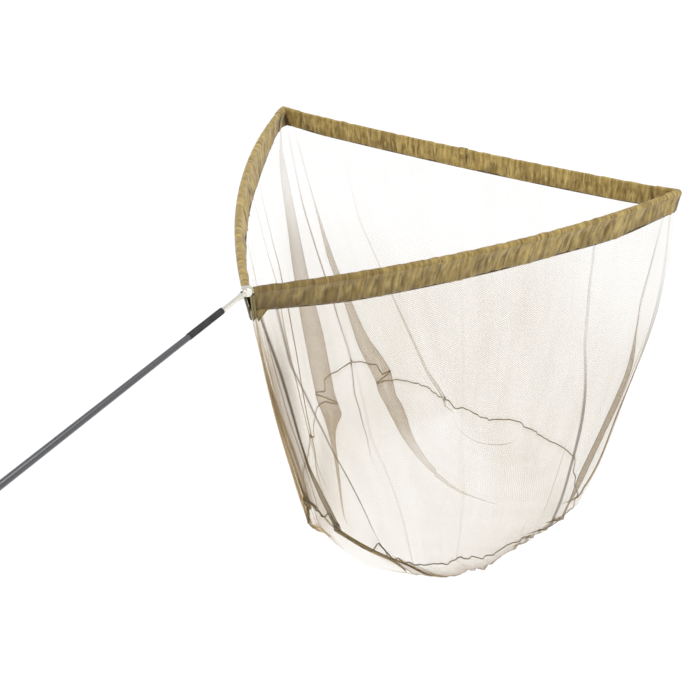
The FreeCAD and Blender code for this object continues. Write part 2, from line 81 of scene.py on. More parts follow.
# ---------------------------------------------------------------- fabric sleeves
SLEEVE_RADIUS = 0.0088
SLEEVE_HEM = 0.0016
SLEEVE_DROP = 0.070
SLEEVE_LEAN = math.radians(12)
TIP_DROP = 0.050
TIP_LEAN = math.radians(-2)
TIP_FRONT_DROP = 0.046
SLEEVE_START = 0.014
BLOCK_DROP = 0.056
SLEEVE_END_GAP = 0.048
FRONT_RADIUS = 0.0062
FRONT_DROP = 0.052
FRONT_END_GAP = 0.047
SLEEVE_STEP = 0.0035
# Painted shade on a sleeve: an even share and a share that is strongest at the block end.
SLEEVE_PAINTED_SHADE = {"right_arm_sleeve_cloth": (0.08, 0.60)}
SLEEVE_ROWS = 22
TOP_ARC_STEPS = 8
NECKING = 0.016
POCKET_REACH = 0.062
POCKET_RADIUS = 0.0082
POCKET_TURN = 0.004
POCKET_SPARE = 0.0012
BAND_SPARE = 0.0016
TAB_WIDTH = 0.0115
TAB_LENGTH = 0.078
TAB_SLANT = 0.010
GUSSET_WIDTH = 0.034
GUSSET_LENGTH = 0.036
YARN = 0.0009

# ---------------------------------------------------------------- mesh bag, measured from the apex
RIM_GAP = 0.001
REAR_LOW = np.array([0.165, 0.0, -0.735])
SIDE_LOW = np.array([0.550, 0.227, -1.200])
CORNER_LOW = np.array([0.962, 0.500, -1.050])
FRONT_LOW = np.array([1.105, 0.0, -1.060])
KEEL_LOW = np.array([0.600, 0.0, -1.375])
KEEL_RISE = 0.085
SIDE_BULGE = 0.030
FRONT_BULGE = 0.015
CORNER_BULGE = np.array([0.046, 0.064, 0.0])
CORNER_ROUNDING = 0.045
RING_METRES = 1.25
RING_END = 1.5
COLUMN_STEP = 0.0075
ROW_STEP = 0.012
BAG_DEPTH = 1.25
NET_PITCH = 0.0034
NET_THREAD = 0.30
RING_SAMPLES = 301
DEPTH_SAMPLES = 161


def smooth(x):
    """Smooth step from 0 to 1 over the range 0 to 1."""
    x = np.clip(x, 0, 1)
    return x * x * (3 - 2 * x)


def mix(a, b, share):
    return a + (b - a) * share


def unit(v):
    return v / np.maximum(np.linalg.norm(v, axis=-1, keepdims=True), 1e-12)


def mirror(points, side):
    """Left-hand points as they are on the named side."""
    return points * np.array([1.0, HALVES[side], 1.0])


def arm_at(station):
    """Point, direction and outward side of the left arm at a distance from the apex."""
    angle = ROOT_ANGLE - np.asarray(station, float) / ARC_RADIUS
    out = np.cos(angle)[..., None] * MOUTH_FORWARD + np.sin(angle)[..., None] * MOUTH_ACROSS
    along = np.sin(angle)[..., None] * MOUTH_FORWARD - np.cos(angle)[..., None] * MOUTH_ACROSS
    return ARC_CENTRE + out * ARC_RADIUS, along, out


def arm_hang(station):
    """Depth and inward lean of the arm's sleeve: shallower at the block, easing off towards the tip."""
    station = np.asarray(station, float)
    to_tip = ARC_LENGTH - station
    drop = mix(TIP_DROP, SLEEVE_DROP, smooth(to_tip / 0.30))
    drop = drop - (SLEEVE_DROP - BLOCK_DROP) * smooth(1 - station / 0.28)
    return drop, mix(TIP_LEAN, SLEEVE_LEAN, smooth(to_tip / 0.50))


def front_hang(y):
    """Depth of the front sleeve, a little less at the corner."""
    return mix(TIP_FRONT_DROP, FRONT_DROP, smooth((TIP[1] - np.abs(y)) / 0.16))


def front_at(y):
    """Point, direction and outward side of the front cord, from the left tip towards the middle."""
    y = np.asarray(y, float)
    sag = CORD_SAG * (1 - (y / TIP[1]) ** 2)
    point = np.stack([np.full_like(y, TIP[0]), y, TIP[2] - sag], axis=-1)
    along = np.broadcast_to(np.array([0.0, -1.0, 0.0]), point.shape)
    out = np.broadcast_to(np.array([1.0, 0.0, 0.0]), point.shape)
    return point, along, out


# ---------------------------------------------------------------- mesh helpers
def mesh_object(name, points, faces, material, attributes=None, uvs=None):
    """Object from points and faces, with float attributes and one UV for each point."""
    mesh = bpy.data.meshes.new(name)
    mesh.from_pydata([tuple(p) for p in points.reshape(-1, 3)], [], faces)
    mesh.update()
    for key, values in (attributes or {}).items():
        layer = mesh.attributes.new(key, "FLOAT", "POINT")
        layer.data.foreach_set("value", np.asarray(values, np.float32).ravel())
    if uvs is not None:
        loops = np.zeros(len(mesh.loops), np.int32)
        mesh.loops.foreach_get("vertex_index", loops)
        layer = mesh.uv_layers.new(name="cloth")
        layer.data.foreach_set("uv", np.asarray(uvs, np.float32).reshape(-1, 2)[loops].ravel())
    mesh.polygons.foreach_set("use_smooth", [True] * len(mesh.polygons))
    mesh.materials.append(material)
    made = bpy.data.objects.new(name, mesh)
    bpy.context.scene.collection.objects.link(made)
    return made


def grid_faces(rows, columns, closed=False, flip=False):
    """Quads over a grid of points; closed joins the last column to the first."""
    faces = []
    last = columns if closed else columns - 1
    for j in range(rows - 1):
        for i in range(last):
            k = (i + 1) % columns
            quad = (j * columns + i, j * columns + k, (j + 1) * columns + k, (j + 1) * columns + i)
            faces.append(quad[::-1] if flip else quad)
    return faces


def cloth(name, side, points, material, attributes, uv, closed=False):
    """Sheet, or closed tube, over a grid of left-hand points, as it is on the named side."""
    faces = grid_faces(*points.shape[:2], closed, flip=side == ("right" if closed else "left"))
    return mesh_object(name, mirror(points, side), faces, material, attributes, uv)


def clean(made, distance=1e-5):
    """Merge points that coincide and drop the faces that this empties."""
    bm = bmesh.new()
    bm.from_mesh(made.data)
    bmesh.ops.remove_doubles(bm, verts=bm.verts, dist=distance)
    bmesh.ops.dissolve_degenerate(bm, edges=bm.edges, dist=1e-6)
    bm.to_mesh(made.data)
    bm.free()


def thicken(made, thickness, offset=-1.0):
    """Give a sheet its cloth thickness, and apply it."""
    solidify = made.modifiers.new("cloth_thickness", "SOLIDIFY")
    solidify.thickness = thickness
    solidify.offset = offset
    solidify.use_even_offset = False
    bpy.context.view_layer.objects.active = made
    bpy.ops.object.modifier_apply(modifier=solidify.name)


def belongs(made, nodes, body=None):
    """Hide the CAD nodes a piece stands for, and attach it to the body it moves with; a piece with no body keeps
    its place, its transform applied.
    """
    if nodes:
        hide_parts(*nodes)
    if body:
        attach(made, body)
        return
    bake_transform(made)


def waves(positions, seed, wavelengths, count=7):
    """Irregular wave along a line: sines of unrelated lengths, between about -1 and 1."""
    rng = np.random.default_rng(seed)
    total = np.zeros_like(np.asarray(positions, float))
    for _ in range(count):
        length = rng.uniform(*wavelengths)
        total += np.sin(2 * math.pi * (positions / length + rng.uniform()))
    return total / math.sqrt(count)


def creases(positions, heights, seed, length, spacing, width, slant):
    """Sharp puckers across a sleeve: each has its own place, width, slant, reach and strength."""
    rng = np.random.default_rng(seed)
    total = np.zeros(np.broadcast(positions, heights).shape)
    at = rng.uniform(*spacing)
    while at < length:
        wide = rng.uniform(*width)
        lean = rng.uniform(-slant, slant)
        strength = rng.uniform(0.3, 1.0) * rng.choice([-1, 1])
        top = rng.uniform(0.0, 0.45)
        bottom = rng.uniform(0.6, 1.15)
        across = np.clip(1 - np.abs(positions - at - lean * (heights - 0.5)) / wide, 0, 1)
        reach = smooth((heights - top + 0.2) / 0.3) * smooth((bottom - heights) / 0.3)
        total += strength * across ** 1.6 * reach
        at += rng.uniform(*spacing)
    return total


# ---------------------------------------------------------------- materials
class Shader:
    """A material with one Principled shader and short ways to add nodes to it."""

    def __init__(self, name, **values):
        self.material = bpy.data.materials.new(name)
        self.material.use_nodes = True
        self.nodes = self.material.node_tree.nodes
        self.links = self.material.node_tree.links
        self.nodes.clear()
        self.output = self.nodes.new("ShaderNodeOutputMaterial")
        self.principled = self.nodes.new("ShaderNodeBsdfPrincipled")
        self.set(**values)
        self.put(self.principled.outputs[0], self.output.inputs["Surface"])
        texture = self.nodes.new("ShaderNodeTexCoord")
        self.place = texture.outputs["Object"]
        self.uv = texture.outputs["UV"]

    def put(self, value, socket):
        """Link a socket, or set a number, colour or vector."""
        if isinstance(value, bpy.types.NodeSocket):
            self.links.new(value, socket)
        else:
            socket.default_value = value

    def set(self, **values):
        for key, value in values.items():
            self.put(value, self.principled.inputs[key.replace("_", " ")])

    def add(self, kind, inputs, **settings):
        """New node with its own settings, and with values or links for its inputs."""
        node = self.nodes.new("ShaderNode" + kind)
        for key, value in settings.items():
            setattr(node, key, value)
        for key, value in inputs.items():
            self.put(value, node.inputs[key])
        return node.outputs

    def scaled(self, scale, source):
        return self.add("Mapping", {"Scale": scale, "Vector": source})[0]

    def noise(self, scale, detail=3.0, roughness=0.55, vector=None, distortion=0.0):
        inputs = {"Scale": scale, "Detail": detail, "Roughness": roughness, "Distortion": distortion}
        return self.add("TexNoise", inputs | {"Vector": vector or self.place})["Fac"]

    def streaks(self, scale, detail=2.0, roughness=0.5, distortion=0.0, source=None):
        """Noise drawn out by a different scale along each axis."""
        return self.noise(1.0, detail, roughness, self.scaled(scale, source or self.place), distortion)

    def math(self, operation, a, b, clamp=False):
        return self.add("Math", {0: a, 1: b}, operation=operation, use_clamp=clamp)[0]

    def ranged(self, value, low, high, to_low=0.0, to_high=1.0):
        inputs = {"Value": value, "From Min": low, "From Max": high, "To Min": to_low, "To Max": to_high}
        return self.add("MapRange", inputs, interpolation_type="SMOOTHSTEP")[0]

    def blend(self, share, a, b):
        """Colour between a and b."""
        return self.add("Mix", {"Factor": share, "A": a, "B": b}, data_type="RGBA")["Result"]

    def coats(self, base, *layers):
        """Colour under layers of a share and a colour, the last on top."""
        for share, colour in layers:
            base = self.blend(share, base, colour)
        return base

    def attribute(self, name):
        return self.add("Attribute", {}, attribute_name=name)["Fac"]

    def stripes(self, value, pitch):
        """Triangle wave from 0 to 1 and back, with lines a pitch apart."""
        return self.math("PINGPONG", self.math("MULTIPLY", value, 1 / pitch), 1.0)

    def bump(self, height, strength, distance):
        normal = self.principled.inputs["Normal"]
        inputs = {"Strength": strength, "Distance": distance, "Height": height}
        if normal.is_linked:
            inputs["Normal"] = normal.links[0].from_socket
        self.put(self.add("Bump", inputs)[0], normal)


def rgb(red, green, blue):
    """Linear colour from the 0 to 255 values seen on a screen."""
    linear = [((c / 255 + 0.055) / 1.055) ** 2.4 if c > 10 else c / 255 / 12.92 for c in (red, green, blue)]
    return (*linear, 1.0)


def fabric_material(name, painted_highlight, light, dark, painted_shade_and_weave):
    """Woven polyester: plain weave and mottled dye, with painted shade and painted highlights on its puckers,
    gathers and creases.
    """
    shader = Shader(name)
    u, v, _ = shader.add("SeparateXYZ", {0: shader.uv})
    weave = shader.math("MULTIPLY", shader.stripes(u, YARN), shader.stripes(v, YARN))
    patches = shader.ranged(shader.noise(30.0, 4.0, 0.6), 0.32, 0.68)
    puckers = shader.streaks((62.0, 13.0, 1.0), 2.0, 0.5, 0.1, shader.uv)
    gathers = shader.streaks((135.0, 20.0, 1.0), 3.0, 0.65, 0.1, shader.uv)
    middle = shader.blend(0.5, dark, light)
    # Painted shade and painted highlight: puckers and gathers are darker on one side and lighter on the other,
    # ridges take a painted highlight, and creases and shaded places take painted shade. The weave is the cloth's
    # own.
    base = shader.coats(
        shader.blend(patches, middle, light),
        (shader.ranged(puckers, 0.46, 0.70, 0.0, 0.65), dark),
        (shader.ranged(puckers, 0.30, 0.46, 0.5, 0.0), painted_highlight),
        (shader.ranged(gathers, 0.50, 0.68, 0.0, 0.8), dark),
        (shader.ranged(gathers, 0.34, 0.47, 0.55, 0.0), painted_highlight),
        (shader.math("MULTIPLY", shader.attribute("ridge_highlight"), 0.6, clamp=True), painted_highlight),
        (shader.attribute("crease_shade_and_dark_edges"), painted_shade_and_weave),
        (shader.attribute("painted_shade"), painted_shade_and_weave),
        (shader.ranged(weave, 0.0, 0.5, 0.22, 0.0), painted_shade_and_weave),
    )
    shader.set(Base_Color=base, Roughness=shader.ranged(patches, 0.0, 1.0, 0.88, 0.74))
    shader.set(Sheen_Weight=0.25, Sheen_Roughness=0.5)
    shader.bump(weave, 0.35, 0.0003)
    shader.bump(puckers, 0.9, 0.0050)
    shader.bump(gathers, 0.7, 0.0022)
    shader.bump(shader.noise(320.0, 2.0), 0.25, 0.0004)
    return shader.material


def net_material():
    """Soft knotless netting: a fine diamond mesh of thin threads, denser where the cloth is bunched, with painted
    shade darkening its colour there.
    """
    shader = Shader("net_mesh", Roughness=0.8)
    u, v, _ = shader.add("SeparateXYZ", {0: shader.uv})
    rising = shader.stripes(shader.math("ADD", u, v), NET_PITCH)
    falling = shader.stripes(shader.math("SUBTRACT", u, v), NET_PITCH)
    lines = [shader.ranged(line, 1 - NET_THREAD, 1.0) for line in (rising, falling)]
    threads = shader.math("MAXIMUM", *lines)
    bunch_and_shade = shader.attribute("bunch_and_shade")
    # Painted shade: the thread colour darkens where the net is bunched, besides its denser cover.
    tint = shader.coats(
        shader.blend(shader.noise(7.0, 3.0, 0.5), rgb(176, 146, 78), rgb(186, 160, 98)),
        (shader.ranged(bunch_and_shade, 0.0, 1.2), rgb(158, 130, 84)),
        (shader.ranged(bunch_and_shade, 1.4, 3.0), rgb(96, 78, 46)),
    )
    shader.set(Base_Color=tint)
    shader.bump(threads, 0.4, 0.0002)
    open_cover = shader.ranged(threads, 0.0, 1.0, 0.07, 0.44)
    shade = shader.ranged(shader.streaks((16.0, 1.6, 1.0), source=shader.uv), 0.3, 0.75, 0.85, 1.2)
    cover = shader.math("MULTIPLY", open_cover, shade)
    cover = shader.math("ADD", cover, shader.math("MULTIPLY", bunch_and_shade, 0.17), clamp=True)
    cover = shader.math("MULTIPLY", cover, shader.attribute("sheer"))
    clear = shader.add("BsdfTransparent", {})[0]
    mixed = shader.add("MixShader", {0: cover, 1: clear, 2: shader.principled.outputs[0]})[0]
    shader.put(mixed, shader.output.inputs["Surface"])
    return shader.material


def tape_material():
    """Dark olive overlocked tape on the seams."""
    shader = Shader("seam_tape", Roughness=0.85)
    u, v, _ = shader.add("SeparateXYZ", {0: shader.uv})
    twill = shader.stripes(shader.math("ADD", u, v), 0.0012)
    base = shader.blend(shader.noise(60.0), rgb(84, 72, 50), rgb(112, 98, 70))
    shader.set(Base_Color=shader.blend(shader.ranged(twill, 0.2, 0.8, 0.35, 0.0), base, rgb(58, 48, 32)))
    shader.bump(twill, 0.5, 0.0003)
    return shader.material


def webbing_material():
    """Folded khaki webbing with ribs and dark edges."""
    shader = Shader("webbing", Roughness=0.8)
    _, v, _ = shader.add("SeparateXYZ", {0: shader.uv})
    ribs = shader.stripes(v, 0.0011)
    base = shader.coats(
        shader.blend(shader.noise(70.0), rgb(132, 116, 74), rgb(176, 158, 108)),
        (shader.attribute("crease_shade_and_dark_edges"), rgb(38, 33, 20)),
        (shader.ranged(ribs, 0.1, 0.7, 0.3, 0.0), rgb(60, 52, 32)),
    )
    shader.set(Base_Color=base)
    shader.bump(ribs, 0.6, 0.0004)
    return shader.material


def carbon_material():
    """Ground and lacquered carbon tube: faint wrap bands and fine lengthwise scratches."""
    shader = Shader("carbon_tube", Coat_Weight=0.35, Coat_Roughness=0.15)
    bands = shader.streaks((420.0, 3.0, 3.0))
    scratches = shader.streaks((12.0, 900.0, 900.0), 3.0, 0.6)
    base = shader.blend(shader.ranged(bands, 0.35, 0.65), rgb(66, 67, 70), rgb(84, 85, 89))
    base = shader.blend(shader.ranged(scratches, 0.55, 0.8, 0.0, 0.3), base, rgb(120, 121, 124))
    shader.set(Base_Color=base, Roughness=shader.ranged(scratches, 0.3, 0.7, 0.28, 0.42))
    shader.bump(bands, 0.12, 0.0002)
    return shader.material


def rubber_material(name, light, dark, grain):
    """Matt textured grip, or plain moulded rubber with a finer grain."""
    shader = Shader(name)
    pores = shader.add("TexVoronoi", {"Scale": grain, "Vector": shader.place})["Distance"]
    dust = shader.noise(45.0, 4.0)
    base = shader.blend(shader.ranged(pores, 0.1, 0.6), dark, light)
    shader.set(Base_Color=base, Roughness=shader.ranged(dust, 0.3, 0.7, 0.66, 0.88))
    shader.bump(pores, 0.8, 0.0005)
    return shader.material


def metal_material(name, light, dark, roughness, turned, metallic=1.0):
    """Turned or polished metal: fine tool marks round the part and handling marks."""
    shader = Shader(name, Metallic=metallic)
    marks = shader.streaks(turned)
    smears = shader.noise(25.0, 3.0, 0.5)
    base = shader.blend(shader.ranged(smears, 0.35, 0.7), light, dark)
    shader.set(Base_Color=base, Roughness=shader.ranged(smears, 0.3, 0.75, roughness * 0.7, roughness * 1.5))
    shader.bump(marks, 0.1, 0.0001)
    return shader.material


def moulded_material(name, light, dark, roughness):
    """Moulded plastic or composite with a fine grain."""
    shader = Shader(name)
    grain = shader.noise(900.0, 2.0)
    wear = shader.noise(40.0, 4.0, 0.6)
    base = shader.blend(shader.ranged(wear, 0.4, 0.75), dark, light)
    shader.set(Base_Color=base, Roughness=shader.ranged(wear, 0.3, 0.7, roughness * 0.8, roughness * 1.2))
    shader.bump(grain, 0.3, 0.0001)
    return shader.material


def cord_material():
    """Braided nylon cord."""
    shader = Shader("braided_cord", Roughness=0.75)
    braid = shader.add("TexWave", {"Scale": 260.0, "Vector": shader.place}, bands_direction="DIAGONAL")["Fac"]
    shader.set(Base_Color=shader.blend(braid, rgb(44, 41, 28), rgb(92, 86, 62)))
    shader.bump(braid, 0.6, 0.0004)
    return shader.material


# Colours: a painted highlight, the light and dark dye, and a painted shade that also darkens the weave.
FABRIC = fabric_material(
    "sleeve_fabric", rgb(232, 206, 130), rgb(198, 170, 94), rgb(114, 90, 40), rgb(72, 52, 20)
)
NET = net_material()
TAPE = tape_material()
WEBBING = webbing_material()
SLOT_MATERIALS = {
    "carbon": carbon_material(),
    "grip_black": rubber_material("textured_grip", rgb(52, 52, 53), rgb(20, 20, 21), 620.0),
    "rubber_black": rubber_material("moulded_rubber", rgb(40, 40, 41), rgb(22, 22, 23), 1500.0),
    "polished_metal": metal_material(
        "polished_alloy", rgb(252, 250, 240), rgb(238, 235, 224), 0.2, (700.0, 8.0, 8.0), 0.75
    ),
    "brass": metal_material("turned_brass", rgb(214, 180, 110), rgb(178, 142, 78), 0.28, (900.0, 8.0, 8.0)),
    "steel": metal_material(
        "brushed_steel", rgb(196, 196, 198), rgb(158, 158, 160), 0.3, (800.0, 20.0, 20.0)
    ),
    "black_steel": moulded_material("blackened_steel", rgb(62, 62, 64), rgb(26, 26, 27), 0.42),
    "washer_nylon": moulded_material("washer_nylon", rgb(232, 230, 222), rgb(214, 211, 200), 0.5),
    "arm_composite": moulded_material("arm_composite", rgb(58, 58, 60), rgb(30, 30, 31), 0.45),
    "black_plastic": moulded_material("black_plastic", rgb(48, 48, 49), rgb(24, 24, 25), 0.55),
    "cord": cord_material(),
}


def dress_cad_nodes():
    """Give each CAD node that stays in view the material of its slot."""
    for entry in frame["record"]["subparts"]:
        made = SLOT_MATERIALS.get(entry["material_slot"])
        if made is None:
            continue
        node = NODES[entry["node"]]
        for material_slot in node.material_slots:
            material_slot.material = made
        if not node.material_slots:
            node.data.materials.append(made)


# ---------------------------------------------------------------- sleeves
def hang_frame(out, up, lean):
    """Directions down and across a layer of cloth that leans inwards by this angle."""
    sine, cosine = np.sin(lean)[..., None], np.cos(lean)[..., None]
    return -sine * out - cosine * up, cosine * out - sine * up


def sleeve_width(depth, radius):
    """Half the sleeve's thickness at a depth below the rod: round over the rod, then two flat layers."""
    return SLEEVE_HEM + (radius - SLEEVE_HEM) * np.exp(-np.maximum(depth, 0) / NECKING)


def sleeve_wrinkles(stations, height, seed, length):
    """Sideways waves of the hanging flap along one height, and how sharply it is creased there."""
    slow = waves(stations, seed, (0.09, 0.26)) * 0.0016 * smooth(height / 0.6)
    quick = waves(stations + 0.012 * height, seed + 1, (0.016, 0.045)) * 0.0009 * smooth(height / 0.3)
    sharp = creases(stations, height, seed + 2, length, (0.008, 0.026), (0.004, 0.010), 0.014)
    broad = creases(stations, height, seed + 3, length, (0.035, 0.11), (0.012, 0.026), 0.03)
    return slow + quick + (sharp * 0.0036 + broad * 0.0046) * smooth(height / 0.25), sharp + 0.3 * broad


def wrapped(name, side, heights, layer, crown, keys, thickness):
    """Cloth folded over a line: up one face, over the top and down the other.

    layer(height, face) and crown(angle) each give a row of points, its UVs and its attributes.
    """
    rows = [layer(height, 1) for height in heights[::-1]]
    rows += [crown(math.pi * k / TOP_ARC_STEPS) for k in range(1, TOP_ARC_STEPS)]
    rows += [layer(height, -1) for height in heights]
    points, uv, *values = (np.stack(part, axis=1) for part in zip(*rows))
    made = cloth(name, side, points, FABRIC, dict(zip(keys, values)), uv, closed=True)
    made.data.flip_normals()
    thicken(made, thickness)
    return made


def sleeve(name, side, line, hang, stations, radius, up, seed, corner, wrinkle=1.0):
    """Puckered fabric tube hung on a line.

    line(stations) gives its points, directions and outward sides, hang(stations) its depths and
    leans. The cloth lies smooth inside the corner pocket, which is at the "start" or the "end".
    """
    points, _, out = line(stations)
    drop, lean = hang(stations)
    down, across = hang_frame(out, up, lean)
    local = stations - stations[0]
    length = local[-1]
    from_corner = length - local if corner == "end" else local
    wrinkle = wrinkle * smooth((from_corner - 0.010) / 0.040)
    hem_wave = 1 + 0.022 * waves(local, seed + 5, (0.05, 0.14)) * wrinkle
    top_wave = up * (0.0007 * waves(local, seed + 6, (0.03, 0.08)) * wrinkle)[:, None]
    # Painted shade over the near sleeve, strongest at its block end.
    whole, rear = SLEEVE_PAINTED_SHADE.get(name, (0.0, 0.0))
    painted_shade = whole + rear * np.exp(-local / 0.35)

    def layer(height, face):
        depth = height * drop * hem_wave
        flap, sharp = sleeve_wrinkles(local, height, seed, length)
        own = 0.0008 * waves(local, seed + 11 + face, (0.02, 0.06)) * smooth(height / 0.2) * (1 - height ** 3)
        half = sleeve_width(depth, radius) + np.abs(own) * wrinkle
        offset = face * half + flap * wrinkle * min(1, height * 4)
        low = smooth((height + 0.1) / 0.3)
        # Painted shade in the creases' valleys and painted highlight on their ridges; the painted shade also
        # deepens towards the hem.
        return (
            points + down * depth[:, None] + across * offset[:, None] + top_wave,
            np.stack([local, face * height * drop], axis=-1),
            0.7 * np.clip(-sharp * face, 0, 1) * low,
            np.clip(sharp * face, 0, 1) * low,
            painted_shade + 0.20 * smooth((height - 0.5) / 0.5),
        )

    def crown(angle):
        top = points + across * (radius * math.cos(angle)) - down * (radius * math.sin(angle)) + top_wave
        uv = np.stack([local, np.full_like(local, radius * (math.pi / 2 - angle))], axis=-1)
        return top, uv, np.zeros_like(local), np.zeros_like(local), painted_shade

    heights = np.linspace(0, 1, SLEEVE_ROWS) ** 1.15
    return wrapped(name, side, heights, layer, crown, ("crease_shade_and_dark_edges", "ridge_highlight", "painted_shade"), 0.0007)


def arm_sleeve(side, seed):
    steps = int((ARC_LENGTH - SLEEVE_END_GAP - SLEEVE_START) / SLEEVE_STEP)
    stations = np.linspace(SLEEVE_START, ARC_LENGTH - SLEEVE_END_GAP, steps)
    name = f"{side}_arm_sleeve_cloth"
    made = sleeve(name, side, arm_at, arm_hang, stations, SLEEVE_RADIUS, MOUTH_UP, seed, "end")
    belongs(made, [f"{side}_arm_sleeve"])


def front_sleeve(side, seed):
    half = TIP[1] - FRONT_END_GAP

    def line(station):
        return front_at(half - station)

    def hang(station):
        return front_hang(half - station), np.zeros_like(station)

    stations = np.linspace(0, half - 0.0005, int(half / SLEEVE_STEP))
    name = f"{side}_front_sleeve_cloth"
    made = sleeve(name, side, line, hang, stations, FRONT_RADIUS, UP, seed, "start", 1.2)
    belongs(made, [f"{side}_front_sleeve"])


# ---------------------------------------------------------------- the bag's smooth surface
def through(a, b, c, share):
    """Parabola through three points, at 0, 0.5 and 1."""
    share = np.asarray(share, float)[..., None]
    return a * 2 * (share - 0.5) * (share - 1) - b * 4 * share * (share - 1) + c * 2 * share * (share - 0.5)


def side_rim(u):
    """Lower edge of the left sleeve, from the block at 0 to the corner at 1."""
    station = SLEEVE_START + u * (ARC_LENGTH - SLEEVE_START - 0.006)
    point, _, out = arm_at(station)
    drop, lean = arm_hang(station)
    reach = (drop + SLEEVE_HEM + RIM_GAP)[..., None]
    edge = point - reach * (np.sin(lean)[..., None] * out + np.cos(lean)[..., None] * MOUTH_UP)
    edge[..., 1] = np.maximum(edge[..., 1], 0.0)
    return edge


def front_rim(u):
    """Lower edge of the front sleeve, from the left corner at 0 to the middle at 0.5."""
    y = side_rim(np.array(1.0))[1] * (1 - 2 * u)
    point, _, _ = front_at(y)
    point[..., 2] -= front_hang(y) + SLEEVE_HEM + RIM_GAP
    return point


def front_low(u):
    right = CORNER_LOW * np.array([1.0, -1.0, 1.0])
    return APEX + through(CORNER_LOW, FRONT_LOW, right, u)


def side_low(u):
    return APEX + through(REAR_LOW, SIDE_LOW, CORNER_LOW, u)


def keel(q):
    """Lowest line of the bag, from the rear at 0 to the front at 1, drawn up a little behind the middle."""
    line = APEX + through(REAR_LOW, KEEL_LOW, FRONT_LOW, q)
    line[..., 2] += KEEL_RISE * np.exp(-((q - 0.22) / 0.17) ** 2)
    return line


def wall_surface(ring, share):
    """Wall of the left half: ring runs 0 at the block, 1 at the arm's tip, 1.5 in the middle of the front."""
    ring, share = np.broadcast_arrays(ring, share)
    on_side = ring <= 1
    u = np.where(on_side, ring, ring - 1)
    v = share[..., None]
    side_out = np.array([-math.sin(ARM_HALF_ANGLE), math.cos(ARM_HALF_ANGLE), 0.0])
    bulge = np.sin(math.pi * u)[..., None]
    side = side_rim(u) * (1 - v) + side_low(u) * v
    side_push = side_out * SIDE_BULGE * bulge + CORNER_BULGE * (u ** 2)[..., None]
    facing = (1 - 2 * u)[..., None]
    front = front_rim(u) * (1 - v) + front_low(u) * v
    corner = CORNER_BULGE * np.concatenate([np.ones_like(facing), facing, facing], axis=-1) * facing ** 2
    front_push = np.array([FRONT_BULGE, 0.0, 0.0]) * bulge + corner
    placed = np.where(on_side[..., None], side, front)
    push = np.where(on_side[..., None], side_push, front_push)
    return placed + push * np.sin(math.pi * v)


def base_surface(ring, share):
    """Base of the left half, from the seam at 0 to the keel at 1."""
    ring, share = np.broadcast_arrays(ring, share)
    seam = wall_surface(ring, np.ones_like(share))
    q = np.where(ring <= 1, 0.80 * ring, 0.80 + 0.20 * (ring - 1) / 0.5)
    low = keel(q)
    fall = np.maximum(seam[..., 2] - low[..., 2], 0.0)
    first = seam - np.stack([0 * fall, 0 * fall, 0.62 * fall], axis=-1)
    second = mix(low, seam, 0.42)
    second[..., 2] = low[..., 2] + 0.02 * fall
    w = share[..., None]
    return seam * (1 - w) ** 3 + 3 * first * w * (1 - w) ** 2 + 3 * second * w * w * (1 - w) + low * w ** 3


def smooth_surface():
    """Grid of the left half: ring samples across, depth 0 to 1 on the walls and 1 to 2 on the base."""
    ring = np.linspace(0, RING_END, RING_SAMPLES)
    depth = np.linspace(0, 2, DEPTH_SAMPLES)
    r, d = np.meshgrid(ring, depth)
    wall = wall_surface(r, np.clip(d, 0, 1))
    grid = np.where((d <= 1)[..., None], wall, base_surface(r, np.clip(d - 1, 0, 1)))
    offsets = np.linspace(-2, 2, 17)
    weights = np.exp(-offsets ** 2)
    total = np.zeros_like(grid)
    spread = CORNER_ROUNDING * smooth(d / 0.45) * np.exp(-((r - 1) / 0.13) ** 2)
    rows = np.broadcast_to(np.arange(DEPTH_SAMPLES)[:, None], r.shape)
    for offset, weight in zip(offsets, weights):
        at = np.clip((r + offset * spread) / RING_END * (RING_SAMPLES - 1), 0, RING_SAMPLES - 1)
        low = np.minimum(at.astype(int), RING_SAMPLES - 2)
        total += weight * mix(grid[rows, low], grid[rows, low + 1], (at - low)[..., None])
    return total / weights.sum()


SURFACE = smooth_surface()
SURFACE_NORMALS = unit(np.cross(np.gradient(SURFACE, axis=1), np.gradient(SURFACE, axis=0)))


def hump(ring, depth, place, widths):
    """Smooth local weight round a (ring, depth) place."""
    return np.exp(-((ring - place[0]) / widths[0]) ** 2 - ((depth - place[1]) / widths[1]) ** 2)[..., None]


def right_belly(ring, depth):
    """The right side hangs fuller: out and down at its corner, and down along the base."""
    out = 0.046 * hump(ring, depth, (0.965, 0.97), (0.11, 0.22)) * np.array([0.5, 0.87, 0.0])
    corner = 0.036 * hump(ring, depth, (0.92, 1.05), (0.13, 0.30))
    under = 0.036 * hump(ring, depth, (0.70, 1.25), (0.25, 0.28))
    return out - (corner + under) * UP


def on_surface(ring, depth, side):
    """Points and normals of one half's smooth surface at any ring and depth values."""
    x = np.clip(np.asarray(ring) / RING_END * (RING_SAMPLES - 1), 0, RING_SAMPLES - 1)
    y = np.clip(np.asarray(depth) / 2 * (DEPTH_SAMPLES - 1), 0, DEPTH_SAMPLES - 1)
    i = np.minimum(x.astype(int), RING_SAMPLES - 2)
    j = np.minimum(y.astype(int), DEPTH_SAMPLES - 2)
    fx, fy = (x - i)[..., None], (y - j)[..., None]

    def look(table):
        return mix(mix(table[j, i], table[j, i + 1], fx), mix(table[j + 1, i], table[j + 1, i + 1], fx), fy)

    points = look(SURFACE)
    if side == "right":
        points = points + right_belly(ring, depth)
    return points, unit(look(SURFACE_NORMALS))


